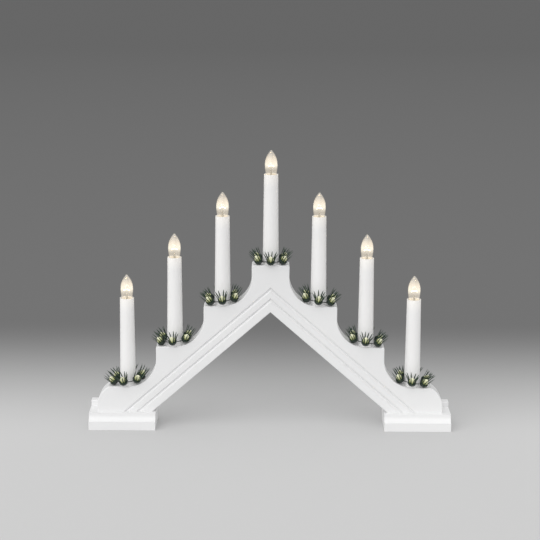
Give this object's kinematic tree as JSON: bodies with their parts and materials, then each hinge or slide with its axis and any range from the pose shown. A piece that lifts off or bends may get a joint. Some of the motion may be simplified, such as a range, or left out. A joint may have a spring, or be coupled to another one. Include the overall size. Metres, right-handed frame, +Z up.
{
  "type": "candle arch",
  "caption": "White wooden candle arch with seven electric candles on steps and green needle rings with pale buds.",
  "frame": {"origin": "on the table, under the middle of the arch", "axes": "+X along the arch to the right seen from the front, +Y to the back, +Z up"},
  "size_m": [0.4, 0.05, 0.309],
  "materials": {
    "white_paint": "white satin paint over smooth wood, edges softened",
    "white_plastic": "smooth warm white plastic, brighter near the lit rim",
    "green_plastic": "dark green needles and cups, pale yellow-green buds",
    "clear_glass": "clear smooth thin glass",
    "glowing_filament": "lit filament with a warm glow",
    "brass": "plain brass, slightly dull",
    "holder_plastic": "off-white moulded plastic",
    "wire_insulation": "white plastic insulation",
    "steel": "zinc-plated steel"
  },
  "bodies": {
    "arch": {"arch_board": "white_paint", "foot_left": "white_paint", "foot_right": "white_paint", "foot_screws": "steel", "back_cover_left": "white_paint", "back_cover_right": "white_paint", "cover_screws": "steel", "lamp_wires": "wire_insulation", "lamp_contacts": "brass", "candle_sleeve_1": "white_plastic", "candle_sleeve_2": "white_plastic", "candle_sleeve_3": "white_plastic", "candle_sleeve_4": "white_plastic", "candle_sleeve_5": "white_plastic", "candle_sleeve_6": "white_plastic", "candle_sleeve_7": "white_plastic", "lampholder_1": "holder_plastic", "lampholder_2": "holder_plastic", "lampholder_3": "holder_plastic", "lampholder_4": "holder_plastic", "lampholder_5": "holder_plastic", "lampholder_6": "holder_plastic", "lampholder_7": "holder_plastic", "lampholder_shell_1": "brass", "lampholder_shell_2": "brass", "lampholder_shell_3": "brass", "lampholder_shell_4": "brass", "lampholder_shell_5": "brass", "lampholder_shell_6": "brass", "lampholder_shell_7": "brass"},
    "bulb_1": {"bulb_glass_1": "clear_glass", "bulb_cap_1": "brass", "bulb_filament_1": "glowing_filament"},
    "ring_1": {"needle_ring_1": "green_plastic"},
    "bulb_2": {"bulb_glass_2": "clear_glass", "bulb_cap_2": "brass", "bulb_filament_2": "glowing_filament"},
    "ring_2": {"needle_ring_2": "green_plastic"},
    "bulb_3": {"bulb_glass_3": "clear_glass", "bulb_cap_3": "brass", "bulb_filament_3": "glowing_filament"},
    "ring_3": {"needle_ring_3": "green_plastic"},
    "bulb_4": {"bulb_glass_4": "clear_glass", "bulb_cap_4": "brass", "bulb_filament_4": "glowing_filament"},
    "ring_4": {"needle_ring_4": "green_plastic"},
    "bulb_5": {"bulb_glass_5": "clear_glass", "bulb_cap_5": "brass", "bulb_filament_5": "glowing_filament"},
    "ring_5": {"needle_ring_5": "green_plastic"},
    "bulb_6": {"bulb_glass_6": "clear_glass", "bulb_cap_6": "brass", "bulb_filament_6": "glowing_filament"},
    "ring_6": {"needle_ring_6": "green_plastic"},
    "bulb_7": {"bulb_glass_7": "clear_glass", "bulb_cap_7": "brass", "bulb_filament_7": "glowing_filament"},
    "ring_7": {"needle_ring_7": "green_plastic"}
  },
  "joints": [
    {"name": "bulb_1_lift", "type": "slide", "parent": "arch", "child": "bulb_1", "axis": [0, 0, 1], "range_m": [0, 0.034]},
    {"name": "needle_ring_1_lift", "type": "slide", "parent": "arch", "child": "ring_1", "axis": [0, 0, 1], "range_m": [0, 0.13]},
    {"name": "bulb_2_lift", "type": "slide", "parent": "arch", "child": "bulb_2", "axis": [0, 0, 1], "range_m": [0, 0.034]},
    {"name": "needle_ring_2_lift", "type": "slide", "parent": "arch", "child": "ring_2", "axis": [0, 0, 1], "range_m": [0, 0.13]},
    {"name": "bulb_3_lift", "type": "slide", "parent": "arch", "child": "bulb_3", "axis": [0, 0, 1], "range_m": [0, 0.034]},
    {"name": "needle_ring_3_lift", "type": "slide", "parent": "arch", "child": "ring_3", "axis": [0, 0, 1], "range_m": [0, 0.13]},
    {"name": "bulb_4_lift", "type": "slide", "parent": "arch", "child": "bulb_4", "axis": [0, 0, 1], "range_m": [0, 0.034]},
    {"name": "needle_ring_4_lift", "type": "slide", "parent": "arch", "child": "ring_4", "axis": [0, 0, 1], "range_m": [0, 0.13]},
    {"name": "bulb_5_lift", "type": "slide", "parent": "arch", "child": "bulb_5", "axis": [0, 0, 1], "range_m": [0, 0.034]},
    {"name": "needle_ring_5_lift", "type": "slide", "parent": "arch", "child": "ring_5", "axis": [0, 0, 1], "range_m": [0, 0.13]},
    {"name": "bulb_6_lift", "type": "slide", "parent": "arch", "child": "bulb_6", "axis": [0, 0, 1], "range_m": [0, 0.034]},
    {"name": "needle_ring_6_lift", "type": "slide", "parent": "arch", "child": "ring_6", "axis": [0, 0, 1], "range_m": [0, 0.13]},
    {"name": "bulb_7_lift", "type": "slide", "parent": "arch", "child": "bulb_7", "axis": [0, 0, 1], "range_m": [0, 0.034]},
    {"name": "needle_ring_7_lift", "type": "slide", "parent": "arch", "child": "ring_7", "axis": [0, 0, 1], "range_m": [0, 0.13]}
  ]
}
